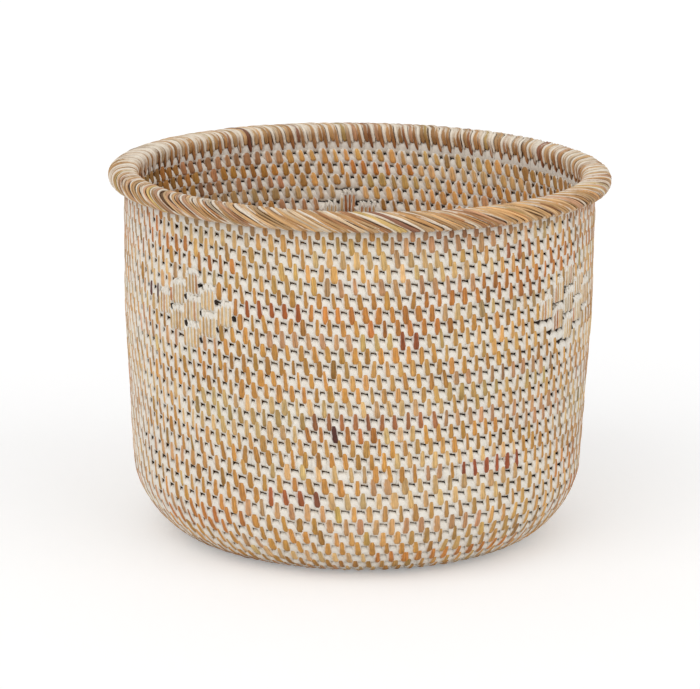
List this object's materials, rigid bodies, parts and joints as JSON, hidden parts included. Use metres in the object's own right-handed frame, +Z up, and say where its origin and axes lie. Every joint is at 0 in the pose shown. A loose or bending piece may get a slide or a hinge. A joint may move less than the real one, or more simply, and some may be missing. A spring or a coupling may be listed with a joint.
{
  "type": "rattan basket planter",
  "caption": "Round open-topped planter basket coiled from wrapped and stitched rattan, with a rounded heel, a rolled slanting border and raised diamond motifs",
  "frame": {"origin": "centre of the flat base, on the surface that the basket stands on", "axes": "+Z up through the open top, -Y towards the front as pictured, +X to its right"},
  "size_m": [0.3052, 0.3052, 0.2261],
  "materials": {
    "wrapped_cane": "rattan splint wrap washed with white paint and rubbed back, matt",
    "border_splint": "honey-coloured rattan splint with fine fibres and traces of white wash, satin",
    "motif_splint": "pale tan rattan splint, matt, white wash between the ribs",
    "hoop_cane": "plain peeled cane, matt"
  },
  "bodies": {
    "root": {"base_cane": "wrapped_cane", "heel_cane_1": "wrapped_cane", "heel_cane_2": "wrapped_cane", "wall_cane_1": "wrapped_cane", "wall_cane_2": "wrapped_cane", "wall_cane_3": "wrapped_cane", "wall_cane_4": "wrapped_cane", "wall_cane_5": "wrapped_cane", "wall_cane_6": "wrapped_cane", "rim_hoop": "hoop_cane", "rim_splint_1": "border_splint", "rim_splint_2": "border_splint", "rim_splint_3": "border_splint", "rim_splint_4": "border_splint", "rim_splint_5": "border_splint", "rim_splint_6": "border_splint", "motif_1_block_1": "motif_splint", "motif_1_block_2": "motif_splint", "motif_1_block_3": "motif_splint", "motif_1_block_4": "motif_splint", "motif_1_block_5": "motif_splint", "motif_1_block_6": "motif_splint", "motif_1_block_7": "motif_splint", "motif_1_block_8": "motif_splint", "motif_1_block_9": "motif_splint", "motif_2_block_1": "motif_splint", "motif_2_block_2": "motif_splint", "motif_2_block_3": "motif_splint", "motif_2_block_4": "motif_splint", "motif_2_block_5": "motif_splint", "motif_2_block_6": "motif_splint", "motif_2_block_7": "motif_splint", "motif_2_block_8": "motif_splint", "motif_2_block_9": "motif_splint", "motif_3_block_1": "motif_splint", "motif_3_block_2": "motif_splint", "motif_3_block_3": "motif_splint", "motif_3_block_4": "motif_splint", "motif_3_block_5": "motif_splint", "motif_3_block_6": "motif_splint", "motif_3_block_7": "motif_splint", "motif_3_block_8": "motif_splint", "motif_3_block_9": "motif_splint"}
  },
  "joints": []
}
